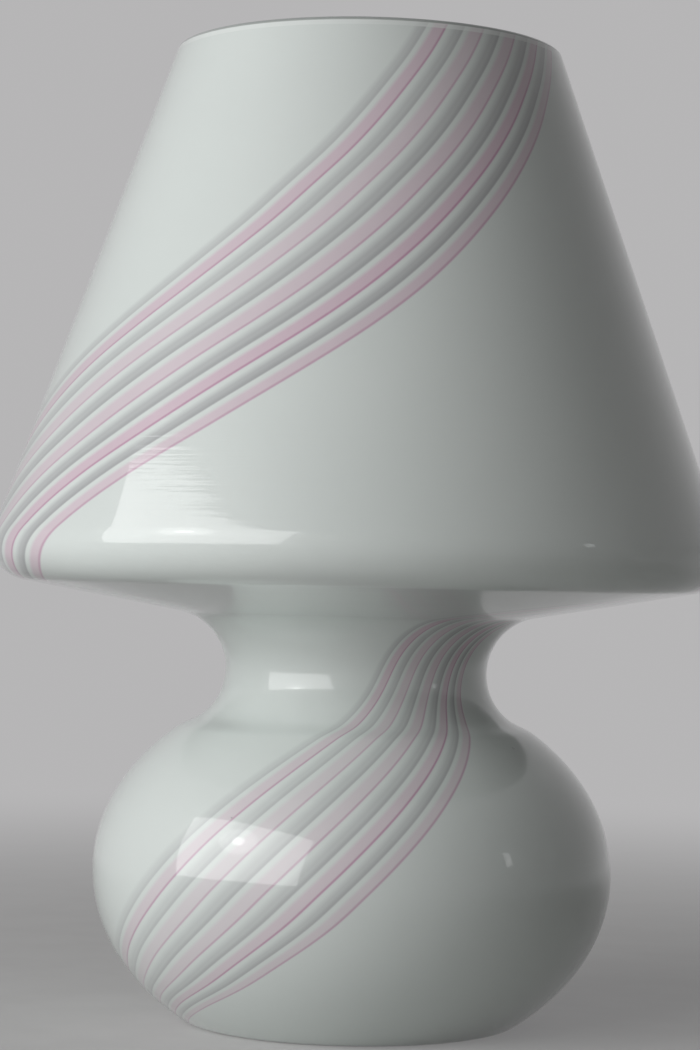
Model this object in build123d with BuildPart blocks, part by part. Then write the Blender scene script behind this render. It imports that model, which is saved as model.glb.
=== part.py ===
"""Mushroom table lamp: one blown glass body that is shade, neck and base at once.

The lamp stands on its flat ground foot at Z = 0, with its axis on Z and the lead hole at
the rear, towards +Y. All sizes are in millimetres. The rest state is a lamp with its bulb
screwed home, so the sprung centre contact is pressed down.
"""
from build123d import *
from math import asin, atan2, cos, degrees, radians, sin, tan
import os

# ---------------------------------------------------------------------------
# Driving dimensions
# ---------------------------------------------------------------------------

# Blown glass body
LAMP_HEIGHT = 330.0
RIM_RADIUS = 65.5            # outside of the open top
SHADE_RADIUS = 129.0         # where the cone and the underside would meet in a sharp edge
SHADE_EDGE_ROUND = 13.0      # outside radius of the shade's lower edge
UNDERSIDE_RISE = 10.0        # degrees: the underside rises towards the edge
NECK_RADIUS = 44.6           # outside of the waist
NECK_HEIGHT = 118.8          # level of the waist
NECK_HOLLOW = 19.5           # radius of the hollow curve round the waist
NECK_HOLLOW_BELOW = 52.0     # degrees of that curve below the waist
BASE_RADIUS = 88.1           # the belly is an ellipse of revolution
BASE_HALF_HEIGHT = 66.0
BASE_CENTRE = 51.0           # level of the belly's widest ring
SHOULDER_ANGLE = 46.0        # degrees up the ellipse, where the shoulder leaves it
FOOT_ROUND = 8.0
GLASS_WALL = 4.5
FLOOR_THICKNESS = 8.0
RIM_POLISH = 1.7             # radius of the fire-polished rim
FLOOR_ROUND = 6.0

# Lead hole and grommet, low on the rear
LEAD_HOLE_ANGLE = 20.0       # degrees down the ellipse
LEAD_HOLE_RADIUS = 5.0
LEAD_RADIUS = 3.1            # bore for a 6 mm round lead
GROMMET_FLANGE_RADIUS = 7.5
GROMMET_FLANGE = 1.8
GROMMET_ROUND = 0.7

# Neck fitting: a three-arm bracket that rests in the flare, and three spring legs
ARM_COUNT = 3
HUB_LEVEL = 124.0            # underside of the hub
HUB_RADIUS = 21.0
SHEET = 2.0
ARM_WIDTH = 12.0
ARM_RISE = 45.0              # degrees
ARM_BEND_RADIUS = 6.0
ARM_TIP = 5.0                # how far an arm runs past its point of rest
SLEEVE_WALL = 1.2
SLEEVE_ROUND = 0.5
ARM_SLEEVE_LENGTH = 13.0
LEG_SLEEVE_REACH = 7.0       # each way from the elbow
LEG_STRIP = 0.8
LEG_WIDTH = 9.0
LEG_REACH_ANGLE = 30.0       # degrees below the waist, where a leg presses on the glass
LEG_FALL = 46.0              # degrees below level: the leg's long run
LEG_HOOK = 70.0              # degrees below level: the leg's turned-in tip
LEG_ELBOW_RADIUS = 4.0
LEG_INNER_END = 10.5         # distance of a leg's inner end from the axis
LEG_TIP = 11.0
RIVET_PLACE = 15.5           # distance of a rivet from the axis
RIVET_RADIUS = 1.6
RIVET_HEAD_RADIUS = 3.0
RIVET_HEAD = 1.1

# Threaded nipple, M10 x 1, with its nuts
NIPPLE_RADIUS = 5.0
NIPPLE_BORE = 3.8
NIPPLE_PITCH = 1.0
NIPPLE_THREAD_DEPTH = 0.45
NIPPLE_BELOW = 10.0          # how far it hangs below the hub
NIPPLE_IN_HOLDER = 8.0
NUT_FLATS = 14.0
NUT_HEIGHT = 4.0
NUT_CHAMFER = 0.7
LOCK_WASHER_RADIUS = 8.5
LOCK_WASHER = 0.8
LOCK_TEETH = 12
LOCK_NOTCH_RADIUS = 0.8
BUSHING_FLANGE_RADIUS = 6.2
BUSHING_FLANGE = 1.6
BUSHING_DEPTH = 5.0
BUSHING_WALL = 0.5
BUSHING_ROUND = 0.6

# Round thread of the 27 mm cap
CREST_RADIUS = 13.1
THREAD_DEPTH = 0.95
THREAD_PITCH = 3.629
THREAD_SHEET = 0.4
CAP_TURNS = 4
HOLDER_TURNS = 5
THREAD_START = 1.5           # plain sheet before the first turn
SHELL_FLOOR_HOLE = 6.5
SHELL_BEND = 1.0

# Lampholder for a 27 mm screw cap
BOSS_RADIUS = 9.5
BOSS_HEIGHT = 9.0
FLARE_HEIGHT = 11.0
FLARE_ROUND = 3.0
HOLDER_ROOM = 6.4            # from the thread's crests to the outside of the holder
HOLDER_RADIUS = CREST_RADIUS + HOLDER_ROOM
HOLDER_WALL = 2.2
CAP_SKIRT = 8.0
SPIGOT_HEIGHT = 5.0
SPIGOT_WALL = 1.8
WIRING_ROOM = 3.5            # height of the wiring space below the ceramic
INSERT_LEDGE = 2.2
INSERT_HEIGHT = 14.0
INSERT_CHAMFER = 0.6
SHELL_HEIGHT = 33.0
SHELL_TAPER = 1.5            # how much slimmer the shell is at its top
SHELL_TOP_RADIUS = HOLDER_RADIUS - SHELL_TAPER
SHELL_LIP = 2.0
SHELL_MOUTH_GAP = 2.5        # round the thread's crests, for the bulb's collar
SHELL_MOUTH_RADIUS = CREST_RADIUS + SHELL_MOUTH_GAP
SHELL_ROUND = 1.2
RIB_COUNT = 24
RIB_RADIUS = 0.8
RIB_HEIGHT = 10.0
GRUB_RADIUS = 1.5
GRUB_LENGTH = 4.2
GRUB_LEVEL = 5.0             # above the foot of the boss

# Terminals and contacts
BLOCK_WIDTH = 6.5
BLOCK_HEIGHT = 5.5
BLOCK_PLACE = 10.0           # distance of a terminal from the axis
WIRE_HOLE_LEVEL = 3.5        # above the foot of the block
WIRE_HOLE_RADIUS = 1.2
TERMINAL_SHEET = 0.8
TONGUE_WIDTH = 5.0
TONGUE_LAP = 0.7             # how far the tongue runs below its block
TERMINAL_SCREW_RADIUS = 1.4
TERMINAL_SCREW_LENGTH = 2.2
SCREW_HEAD_RADIUS = 2.2
SCREW_HEAD = 1.4
SHELL_SCREW_PLACE = 9.6
SHELL_SCREW_RADIUS = 1.3
SHELL_SCREW_LENGTH = 6.0
SLOT_WIDTH = 0.7
SLOT_DEPTH = 0.6
PLUNGER_RADIUS = 3.2
PLUNGER_COLLAR_RADIUS = 4.4
PLUNGER_COLLAR = 1.6
PLUNGER_STAND = 3.6          # how far it stands out of the ceramic when the bulb is home
PLUNGER_DOME = 1.4
CONTACT_TRAVEL = 2.5
TRAVEL_RESERVE = 0.1
SPRING_WIRE_RADIUS = 0.35
SPRING_RADIUS = 3.3
SPRING_TURNS = 4
SPRING_LENGTH = 6.0          # when the bulb is home

# Bulb
BULB_LENGTH = 105.0
BULB_RADIUS = 30.0
BULB_NECK_STEP = 1.1         # how far the bulb's neck stands out past the crests
BULB_NECK_RADIUS = CREST_RADIUS + BULB_NECK_STEP
BULB_GLASS = 0.9
BULB_THROAT_GAP = 0.35       # cement between the glass and the cap's thread
BULB_THROAT_RADIUS = CREST_RADIUS - THREAD_DEPTH - THREAD_SHEET - BULB_THROAT_GAP
BULB_THROAT = 8.0            # how far the glass reaches down into its cap
BULB_NECK_RISE = 6.0
TIP_RADIUS = 4.6
TIP_HEIGHT = 1.6
TIP_ROUND = 0.7
VITRITE_BOTTOM_RADIUS = 6.2
VITRITE_GAP = 0.55           # between it and the cap's thread
VITRITE_RADIUS = CREST_RADIUS - THREAD_DEPTH - THREAD_SHEET - VITRITE_GAP
VITRITE_HEIGHT = 5.0
VITRITE_LAP = 1.5            # how far it reaches up inside the cap shell
CAP_COLLAR_STEP = 0.5        # how far the collar stands out past the crests
CAP_COLLAR_RADIUS = CREST_RADIUS + CAP_COLLAR_STEP
CAP_COLLAR = 3.0
STEM_RADIUS = 4.2
STEM_HEIGHT = 27.0
STEM_WALL = 0.9
STEM_PINCH = 4.0             # solid glass at the stem's top
STEM_FLARE = 5.0
ROD_RADIUS = 1.3
ROD_HEIGHT = 14.0
ROD_BUTTON_RADIUS = 2.1
LEAD_WIRE_RADIUS = 0.35
LEAD_WIRE_PLACE = 2.0        # distance of a lead wire from the axis in the stem
LEAD_WIRE_BEND = 2.5
LEAD_ANGLES = (225.0, 315.0)
SUPPORT_RADIUS = 0.2
SUPPORT_COUNT = 4
FILAMENT_RADIUS = 0.45
FILAMENT_ARC_RADIUS = 12.5
FILAMENT_RISE = 66.0         # above the tip of the cap

# Clearances
REST_GAP = 0.1               # sleeve to glass
SLIP = 0.05                  # one piece round another
RUNNING = 0.08               # radial room of the plunger in the ceramic
BULB_GAP = 0.3               # round the bulb, which turns and lifts

# ---------------------------------------------------------------------------
# Levels and places that follow from the sizes above
# ---------------------------------------------------------------------------

hollow_centre = Vector(NECK_RADIUS + NECK_HOLLOW, NECK_HEIGHT)
inner_hollow = NECK_HOLLOW + GLASS_WALL
hub_top = HUB_LEVEL + SHEET
washer_bottom = HUB_LEVEL - LOCK_WASHER
nipple_bottom = HUB_LEVEL - NIPPLE_BELOW
cap_bottom = hub_top + NUT_HEIGHT
nipple_top = cap_bottom + NIPPLE_IN_HOLDER
skirt_bottom = cap_bottom + BOSS_HEIGHT + FLARE_HEIGHT
cap_top = skirt_bottom + CAP_SKIRT
spigot_top = cap_top + SPIGOT_HEIGHT
insert_bottom = skirt_bottom
insert_top = insert_bottom + INSERT_HEIGHT
shell_top = cap_top + SHELL_HEIGHT
spring_top = insert_bottom + SPRING_LENGTH
tip_level = insert_top + PLUNGER_STAND + SLIP
bulb_cap_bottom = tip_level + TIP_HEIGHT + VITRITE_HEIGHT - VITRITE_LAP
bulb_cap_top = bulb_cap_bottom + THREAD_START + (CAP_TURNS + 0.5) * THREAD_PITCH + CAP_COLLAR
bulb_top = tip_level + BULB_LENGTH


def polar(radius, angle):
    """Point at this radius and angle (degrees) in a sketch plane."""
    return Vector(radius * cos(radians(angle)), radius * sin(radians(angle)))


def radial_plane(angle):
    """Upright plane through the axis: x runs outward at this angle, y runs up."""
    return Plane(origin=(0, 0, 0), x_dir=polar(1, angle), z_dir=polar(1, angle - 90))


def corner_near(sketch, x, y):
    """The sketch corner nearest to this point."""
    return sketch.vertices().sort_by_distance((x, y))[0]


def finish(part, name):
    """Name a piece and write it to its own file."""
    part.label = name
    export_step(part, f"parts/{name}.step")


os.makedirs("parts", exist_ok=True)

# ---------------------------------------------------------------------------
# Glass body: one blown and twisted piece, open at the top, ground flat at the foot
# ---------------------------------------------------------------------------

underside_start = hollow_centre + polar(NECK_HOLLOW, 90 + UNDERSIDE_RISE)
edge_corner = Vector(
    SHADE_RADIUS,
    underside_start.Y + tan(radians(UNDERSIDE_RISE)) * (SHADE_RADIUS - underside_start.X),
)
cone_run = Vector(RIM_RADIUS, LAMP_HEIGHT) - edge_corner
cone_angle = degrees(atan2(cone_run.Y, cone_run.X))
underside_inward = polar(1, 90 + UNDERSIDE_RISE)
cone_inward = polar(1, cone_angle + 90)


def glass_half(inset, lowest, corner_round):
    """Half section of the glass, moved inward by inset and cut off level at lowest."""
    half_width = BASE_RADIUS - inset
    half_height = BASE_HALF_HEIGHT - inset
    low_angle = degrees(asin((lowest - BASE_CENTRE) / half_height))
    inset_reach = inset / (1 + underside_inward.dot(cone_inward))
    edge = edge_corner + (underside_inward + cone_inward) * inset_reach
    rim = Vector(RIM_RADIUS - inset / sin(radians(cone_angle)), LAMP_HEIGHT)
    with BuildLine() as outline:
        belly = EllipticalCenterArc(
            (0, BASE_CENTRE), half_width, half_height, low_angle, arc_size=SHOULDER_ANGLE - low_angle
        )
        throat = CenterArc(
            hollow_centre,
            NECK_HOLLOW + inset,
            180 + NECK_HOLLOW_BELOW,
            -(NECK_HOLLOW_BELOW + 90 - UNDERSIDE_RISE),
        )
        Spline(belly @ 1, throat @ 0, tangents=[belly % 1, throat % 0])
        FilletPolyline(throat @ 1, edge, rim, radius=SHADE_EDGE_ROUND - inset)
        Polyline(rim, (0, LAMP_HEIGHT), (0, lowest), belly @ 0)
    half = make_face(outline.edges())
    fillet(corner_near(half, half_width / 2, lowest), corner_round)


lead_direction = Vector(
    cos(radians(LEAD_HOLE_ANGLE)) / BASE_RADIUS,
    -sin(radians(LEAD_HOLE_ANGLE)) / BASE_HALF_HEIGHT,
).normalized()
lead_point = Vector(
    0,
    BASE_RADIUS * cos(radians(LEAD_HOLE_ANGLE)),
    BASE_CENTRE - BASE_HALF_HEIGHT * sin(radians(LEAD_HOLE_ANGLE)),
)
lead_plane = Plane(
    origin=lead_point, x_dir=(1, 0, 0), z_dir=(0, lead_direction.X, lead_direction.Y)
)

with BuildPart() as glass_body:
    with BuildSketch(Plane.XZ):
        glass_half(0, 0, FOOT_ROUND)
    revolve(axis=Axis.Z)
    with BuildSketch(Plane.XZ):
        glass_half(GLASS_WALL, FLOOR_THICKNESS, FLOOR_ROUND)
    revolve(axis=Axis.Z, mode=Mode.SUBTRACT)
    fillet(glass_body.edges().group_by(Axis.Z)[-1], RIM_POLISH)
    with BuildSketch(lead_plane):
        Circle(LEAD_HOLE_RADIUS)
    extrude(amount=2 * GLASS_WALL, both=True, mode=Mode.SUBTRACT)
finish(glass_body.part, "glass_body")

# ---------------------------------------------------------------------------
# Grommet: soft ring that lines the lead hole, with a flange on each face of the glass
# ---------------------------------------------------------------------------

flange_sag = (
    (GROMMET_FLANGE_RADIUS ** 2 - LEAD_HOLE_RADIUS ** 2) / (2 * (BASE_HALF_HEIGHT - GLASS_WALL)) + REST_GAP
)
grommet_inner_face = -(GLASS_WALL + flange_sag + REST_GAP)

with BuildPart() as lead_grommet:
    with BuildSketch(lead_plane):
        Circle(GROMMET_FLANGE_RADIUS)
    extrude(amount=GROMMET_FLANGE)
    with BuildSketch(lead_plane):
        Circle(LEAD_HOLE_RADIUS - SLIP)
    extrude(amount=grommet_inner_face)
    with BuildSketch(lead_plane.offset(grommet_inner_face)):
        Circle(GROMMET_FLANGE_RADIUS)
    extrude(amount=-GROMMET_FLANGE)
    flange_rims = lead_grommet.edges().filter_by(GeomType.CIRCLE).filter_by(
        lambda edge: edge.radius > GROMMET_FLANGE_RADIUS - SLIP
    )
    fillet(flange_rims, GROMMET_ROUND)
    with BuildSketch(lead_plane.offset(GROMMET_FLANGE)):
        Circle(LEAD_RADIUS)
    extrude(amount=grommet_inner_face - 2 * GROMMET_FLANGE, mode=Mode.SUBTRACT)
finish(lead_grommet.part, "lead_grommet")

# ---------------------------------------------------------------------------
# Neck bracket: pressed hub with three arms that rise along the flare of the glass
# ---------------------------------------------------------------------------


def bent_strip(points, radius, thickness):
    """Side profile of a strip that is bent round the inner corners of a path."""
    with BuildLine() as path:
        FilletPolyline(*points, radius=radius)
    trace(path.edges(), line_width=thickness)


def edge_lift(half_width, radius, steepness):
    """How far a flat strip stands off a round wall for its two edges to stay clear of it."""
    return half_width ** 2 / (2 * radius) * steepness


arm_angles = [90 + turn * 360 / ARM_COUNT for turn in range(ARM_COUNT)]
leg_angles = [angle + 180 / ARM_COUNT for angle in arm_angles]

arm_sleeve_half_width = ARM_WIDTH / 2 + SLIP + SLEEVE_WALL
arm_rest_radius = hollow_centre.X - inner_hollow * sin(radians(ARM_RISE))
arm_lift = REST_GAP + edge_lift(arm_sleeve_half_width, arm_rest_radius, sin(radians(ARM_RISE)))
arm_offset = inner_hollow + arm_lift + SLEEVE_WALL + SLIP + SHEET / 2
arm_rest = hollow_centre + polar(arm_offset, 90 + ARM_RISE)
arm_level = HUB_LEVEL + SHEET / 2
arm_bend = Vector(arm_rest.X - (arm_rest.Y - arm_level) / tan(radians(ARM_RISE)), arm_level)
arm_end = arm_rest + polar(ARM_TIP, ARM_RISE)

with BuildPart() as neck_bracket:
    with BuildSketch(Plane.XY.offset(HUB_LEVEL)):
        Circle(HUB_RADIUS)
    extrude(amount=SHEET)
    for angle in arm_angles:
        with BuildSketch(radial_plane(angle)):
            bent_strip([(HUB_RADIUS / 2, arm_level), arm_bend, arm_end], ARM_BEND_RADIUS, SHEET)
        extrude(amount=ARM_WIDTH / 2, both=True)
    with BuildSketch(Plane.XY.offset(HUB_LEVEL)):
        Circle(NIPPLE_RADIUS + SLIP)
        for angle in leg_angles:
            with Locations(polar(RIVET_PLACE, angle)):
                Circle(RIVET_RADIUS + SLIP)
    extrude(amount=SHEET, mode=Mode.SUBTRACT)
finish(neck_bracket.part, "neck_bracket")

# ---------------------------------------------------------------------------
# Arm sleeves: soft caps on the arm tips, which rest on the glass
# ---------------------------------------------------------------------------

sleeve_start = arm_end - polar(ARM_SLEEVE_LENGTH, ARM_RISE)

for number, angle in enumerate(arm_angles, start=1):
    with BuildPart() as arm_sleeve:
        with BuildSketch(radial_plane(angle)):
            with BuildLine():
                Line(sleeve_start, arm_end + polar(SLIP + SLEEVE_WALL, ARM_RISE))
            trace(line_width=SHEET + 2 * (SLIP + SLEEVE_WALL))
        extrude(amount=arm_sleeve_half_width, both=True)
        fillet(arm_sleeve.edges(), SLEEVE_ROUND)
        with BuildSketch(radial_plane(angle)):
            with BuildLine():
                Line(sleeve_start - polar(SLEEVE_WALL, ARM_RISE), arm_end + polar(SLIP, ARM_RISE))
            trace(line_width=SHEET + 2 * SLIP)
        extrude(amount=ARM_WIDTH / 2 + SLIP, both=True, mode=Mode.SUBTRACT)
    finish(arm_sleeve.part, f"arm_sleeve_{number}")

# ---------------------------------------------------------------------------
# Spring legs: bowed strips that press on the glass below the waist
# ---------------------------------------------------------------------------

leg_sleeve_half_width = LEG_WIDTH / 2 + SLIP + SLEEVE_WALL
leg_reach_radius = hollow_centre.X - inner_hollow * cos(radians(LEG_REACH_ANGLE))
leg_lift = REST_GAP + edge_lift(leg_sleeve_half_width, leg_reach_radius, cos(radians(LEG_REACH_ANGLE)))
leg_level = HUB_LEVEL - LEG_STRIP / 2
elbow_offset = inner_hollow + leg_lift + SLEEVE_WALL + SLIP + LEG_STRIP / 2 + LEG_ELBOW_RADIUS
elbow_centre = hollow_centre + polar(elbow_offset, 180 + LEG_REACH_ANGLE)
elbow_turn = 180 - LEG_FALL - LEG_HOOK
elbow_facing = 90 - LEG_FALL - elbow_turn / 2
elbow = elbow_centre + polar(LEG_ELBOW_RADIUS / cos(radians(elbow_turn / 2)), elbow_facing)
knee = elbow + polar((leg_level - elbow.Y) / sin(radians(LEG_FALL)), 180 - LEG_FALL)
leg_tip = elbow + polar(LEG_TIP, 180 + LEG_HOOK)
leg_inner_end = Vector(LEG_INNER_END, leg_level)

for number, angle in enumerate(leg_angles, start=1):
    with BuildPart() as spring_leg:
        with BuildSketch(radial_plane(angle)):
            bent_strip([leg_inner_end, knee, elbow, leg_tip], LEG_ELBOW_RADIUS, LEG_STRIP)
        extrude(amount=LEG_WIDTH / 2, both=True)
        with BuildSketch(Plane.XY.offset(HUB_LEVEL)):
            with Locations(polar(RIVET_PLACE, angle)):
                Circle(RIVET_RADIUS + SLIP)
        extrude(amount=-2 * LEG_STRIP, mode=Mode.SUBTRACT)
    finish(spring_leg.part, f"spring_leg_{number}")

# ---------------------------------------------------------------------------
# Leg sleeves: short tubes over the elbows, so that steel never touches glass
# ---------------------------------------------------------------------------

leg_sleeve_path = [
    elbow + polar(LEG_SLEEVE_REACH, 180 - LEG_FALL),
    elbow,
    elbow + polar(LEG_SLEEVE_REACH, 180 + LEG_HOOK),
]

for number, angle in enumerate(leg_angles, start=1):
    with BuildPart() as leg_sleeve:
        with BuildSketch(radial_plane(angle)):
            bent_strip(leg_sleeve_path, LEG_ELBOW_RADIUS, LEG_STRIP + 2 * (SLIP + SLEEVE_WALL))
        extrude(amount=leg_sleeve_half_width, both=True)
        with BuildSketch(radial_plane(angle)):
            bent_strip([knee, elbow, leg_tip], LEG_ELBOW_RADIUS, LEG_STRIP + 2 * SLIP)
        extrude(amount=LEG_WIDTH / 2 + SLIP, both=True, mode=Mode.SUBTRACT)
    finish(leg_sleeve.part, f"leg_sleeve_{number}")

# ---------------------------------------------------------------------------
# Leg rivets: three round-head rivets through leg and hub
# ---------------------------------------------------------------------------

leg_underside = HUB_LEVEL - LEG_STRIP
rivet_places = [polar(RIVET_PLACE, angle) for angle in leg_angles]

with BuildPart() as leg_rivets:
    with BuildSketch(Plane.XY.offset(leg_underside)):
        with Locations(*rivet_places):
            Circle(RIVET_RADIUS)
    extrude(amount=SHEET + LEG_STRIP)
    with BuildSketch(Plane.XY.offset(hub_top)):
        with Locations(*rivet_places):
            Circle(RIVET_HEAD_RADIUS)
    extrude(amount=RIVET_HEAD)
    fillet(leg_rivets.edges().group_by(Axis.Z)[-1], RIVET_HEAD - SLIP)
    with BuildSketch(Plane.XY.offset(leg_underside)):
        with Locations(*rivet_places):
            Circle(RIVET_HEAD_RADIUS)
    extrude(amount=-RIVET_HEAD)
    fillet(leg_rivets.edges().group_by(Axis.Z)[0], RIVET_HEAD - SLIP)
finish(leg_rivets.part, "leg_rivets")

# ---------------------------------------------------------------------------
# Threaded nipple: hollow tube that joins bracket and lampholder and takes the lead
# ---------------------------------------------------------------------------

nipple_turns = round((nipple_top - nipple_bottom) / NIPPLE_PITCH)
nipple_step = (nipple_top - nipple_bottom) / nipple_turns / 2
nipple_thread = [
    (NIPPLE_RADIUS - NIPPLE_THREAD_DEPTH * (1 - step % 2), nipple_bottom + step * nipple_step)
    for step in range(2 * nipple_turns + 1)
]

with BuildPart() as threaded_nipple:
    with BuildSketch(Plane.XZ):
        with BuildLine():
            Polyline(
                (NIPPLE_BORE, nipple_bottom),
                *nipple_thread,
                (NIPPLE_BORE, nipple_top),
                close=True,
            )
        make_face()
    revolve(axis=Axis.Z)
finish(threaded_nipple.part, "threaded_nipple")

# ---------------------------------------------------------------------------
# Nipple nuts: one on the hub and one below the lock washer
# ---------------------------------------------------------------------------

nut_levels = [hub_top, washer_bottom - NUT_HEIGHT]
nut_corner_radius = NUT_FLATS / 2 / cos(radians(30))

with BuildPart() as nipple_nuts:
    for level in nut_levels:
        with BuildSketch(Plane.XY.offset(level)):
            RegularPolygon(NUT_FLATS / 2, 6, major_radius=False)
        extrude(amount=NUT_HEIGHT)
    with BuildSketch(Plane.XZ) as nut_envelope:
        for level in nut_levels:
            with Locations((nut_corner_radius / 2, level + NUT_HEIGHT / 2)):
                Rectangle(nut_corner_radius, NUT_HEIGHT)
        chamfer(nut_envelope.vertices().group_by(Axis.X)[-1], NUT_CHAMFER)
    revolve(axis=Axis.Z, mode=Mode.INTERSECT)
    with BuildSketch(Plane.XY.offset(nipple_bottom)):
        Circle(NIPPLE_RADIUS + SLIP)
    extrude(amount=nipple_top - nipple_bottom, mode=Mode.SUBTRACT)
finish(nipple_nuts.part, "nipple_nuts")

# ---------------------------------------------------------------------------
# Lock washer: toothed ring between the hub and the lower nut
# ---------------------------------------------------------------------------

with BuildPart() as lock_washer:
    with BuildSketch(Plane.XY.offset(washer_bottom)):
        Circle(LOCK_WASHER_RADIUS)
        with PolarLocations(LOCK_WASHER_RADIUS, LOCK_TEETH):
            Circle(LOCK_NOTCH_RADIUS, mode=Mode.SUBTRACT)
        Circle(NIPPLE_RADIUS + SLIP, mode=Mode.SUBTRACT)
    extrude(amount=LOCK_WASHER)
finish(lock_washer.part, "lock_washer")

# ---------------------------------------------------------------------------
# Nipple bushing: smooth end ring that keeps the lead off the thread's sharp end
# ---------------------------------------------------------------------------

bushing_radius = NIPPLE_BORE - SLIP

with BuildPart() as nipple_bushing:
    with BuildSketch(Plane.XY.offset(nipple_bottom)):
        Circle(bushing_radius)
    extrude(amount=BUSHING_DEPTH)
    with BuildSketch(Plane.XY.offset(nipple_bottom)):
        Circle(BUSHING_FLANGE_RADIUS)
    extrude(amount=-BUSHING_FLANGE)
    fillet(nipple_bushing.edges().group_by(Axis.Z)[0], BUSHING_ROUND)
    with BuildSketch(Plane.XY.offset(nipple_bottom + BUSHING_DEPTH)):
        Circle(bushing_radius - BUSHING_WALL)
    extrude(amount=-BUSHING_DEPTH - BUSHING_FLANGE, mode=Mode.SUBTRACT)
finish(nipple_bushing.part, "nipple_bushing")

# ---------------------------------------------------------------------------
# Holder cap: lower half of the lampholder, screwed on the nipple
# ---------------------------------------------------------------------------

spigot_radius = HOLDER_RADIUS - HOLDER_WALL - SLIP
holder_bore = spigot_radius - SPIGOT_WALL
insert_radius = holder_bore - SLIP
wiring_radius = holder_bore - INSERT_LEDGE

with BuildPart() as holder_cap:
    with BuildSketch(Plane.XZ) as cap_section:
        with BuildLine():
            Polyline(
                (NIPPLE_RADIUS + SLIP, cap_bottom),
                (BOSS_RADIUS, cap_bottom),
                (BOSS_RADIUS, cap_bottom + BOSS_HEIGHT),
                (HOLDER_RADIUS, skirt_bottom),
                (HOLDER_RADIUS, cap_top),
                (spigot_radius, cap_top),
                (spigot_radius, spigot_top),
                (holder_bore, spigot_top),
                (holder_bore, insert_bottom),
                (wiring_radius, insert_bottom),
                (wiring_radius, insert_bottom - WIRING_ROOM),
                (NIPPLE_RADIUS + SLIP, nipple_top),
                close=True,
            )
        make_face()
        fillet(corner_near(cap_section, BOSS_RADIUS, cap_bottom + BOSS_HEIGHT), FLARE_ROUND)
        fillet(corner_near(cap_section, HOLDER_RADIUS, skirt_bottom), FLARE_ROUND)
    revolve(axis=Axis.Z)
    with BuildSketch(Plane.YZ):
        with Locations((0, cap_bottom + GRUB_LEVEL)):
            Circle(GRUB_RADIUS + SLIP)
    extrude(amount=2 * BOSS_RADIUS, mode=Mode.SUBTRACT)
finish(holder_cap.part, "holder_cap")

# ---------------------------------------------------------------------------
# Grub screw: pins the holder cap on the nipple
# ---------------------------------------------------------------------------

grub_tip = NIPPLE_RADIUS + SLIP

with BuildPart() as nipple_grub_screw:
    with BuildSketch(Plane.YZ.offset(grub_tip)):
        with Locations((0, cap_bottom + GRUB_LEVEL)):
            Circle(GRUB_RADIUS)
    extrude(amount=GRUB_LENGTH)
    with BuildSketch(Plane.YZ.offset(grub_tip + GRUB_LENGTH)):
        with Locations((0, cap_bottom + GRUB_LEVEL)):
            Rectangle(3 * GRUB_RADIUS, SLOT_WIDTH)
    extrude(amount=-SLOT_DEPTH, mode=Mode.SUBTRACT)
finish(nipple_grub_screw.part, "nipple_grub_screw")

# ---------------------------------------------------------------------------
# Holder insert: ceramic block that carries the contacts and terminals
# ---------------------------------------------------------------------------

collar_room = SPRING_LENGTH + PLUNGER_COLLAR + CONTACT_TRAVEL + TRAVEL_RESERVE
shell_screw_places = [(0, SHELL_SCREW_PLACE), (0, -SHELL_SCREW_PLACE)]
block_places = [(BLOCK_PLACE, 0), (-BLOCK_PLACE, 0)]

with BuildPart() as holder_insert:
    with BuildSketch(Plane.XY.offset(insert_bottom)):
        Circle(insert_radius)
    extrude(amount=INSERT_HEIGHT)
    chamfer(holder_insert.edges().group_by(Axis.Z)[-1], INSERT_CHAMFER)
    with BuildSketch(Plane.XY.offset(insert_bottom)):
        Circle(PLUNGER_COLLAR_RADIUS + RUNNING)
    extrude(amount=collar_room, mode=Mode.SUBTRACT)
    with BuildSketch(Plane.XY.offset(insert_bottom)):
        Circle(PLUNGER_RADIUS + RUNNING)
    extrude(amount=INSERT_HEIGHT, mode=Mode.SUBTRACT)
    with BuildSketch(Plane.XY.offset(insert_bottom)):
        with Locations(*block_places):
            Rectangle(BLOCK_WIDTH + 2 * SLIP, 2 * insert_radius)
    extrude(amount=BLOCK_HEIGHT + SLIP, mode=Mode.SUBTRACT)
    with BuildSketch(Plane.XY.offset(insert_bottom)):
        with Locations((-BLOCK_PLACE, 0)):
            Rectangle(TERMINAL_SHEET + 2 * SLIP, TONGUE_WIDTH + 2 * SLIP)
    extrude(amount=INSERT_HEIGHT, mode=Mode.SUBTRACT)
    with BuildSketch(Plane.XY.offset(insert_top)):
        with Locations(*shell_screw_places):
            Circle(SHELL_SCREW_RADIUS + SLIP)
    extrude(amount=-SHELL_SCREW_LENGTH - SLIP, mode=Mode.SUBTRACT)
finish(holder_insert.part, "holder_insert")

# ---------------------------------------------------------------------------
# Terminals: a brass block each, one with a tongue below the spring, one with a riser
# ---------------------------------------------------------------------------


def terminal_block(side):
    """Brass block in its channel, bored across for the wire and from below for its screw."""
    with BuildSketch(Plane.XY.offset(insert_bottom)) as block:
        with Locations((side * BLOCK_PLACE, 0)):
            Rectangle(BLOCK_WIDTH, BLOCK_WIDTH)
    extrude(block.sketch, amount=BLOCK_HEIGHT)
    with BuildSketch(Plane.XZ) as wire_hole:
        with Locations((side * BLOCK_PLACE, insert_bottom + WIRE_HOLE_LEVEL)):
            Circle(WIRE_HOLE_RADIUS)
    extrude(wire_hole.sketch, amount=BLOCK_WIDTH, both=True, mode=Mode.SUBTRACT)
    with BuildSketch(Plane.XY.offset(insert_bottom)) as screw_hole:
        with Locations((side * BLOCK_PLACE, 0)):
            Circle(TERMINAL_SCREW_RADIUS + SLIP)
    extrude(screw_hole.sketch, amount=WIRE_HOLE_LEVEL, mode=Mode.SUBTRACT)


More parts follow.
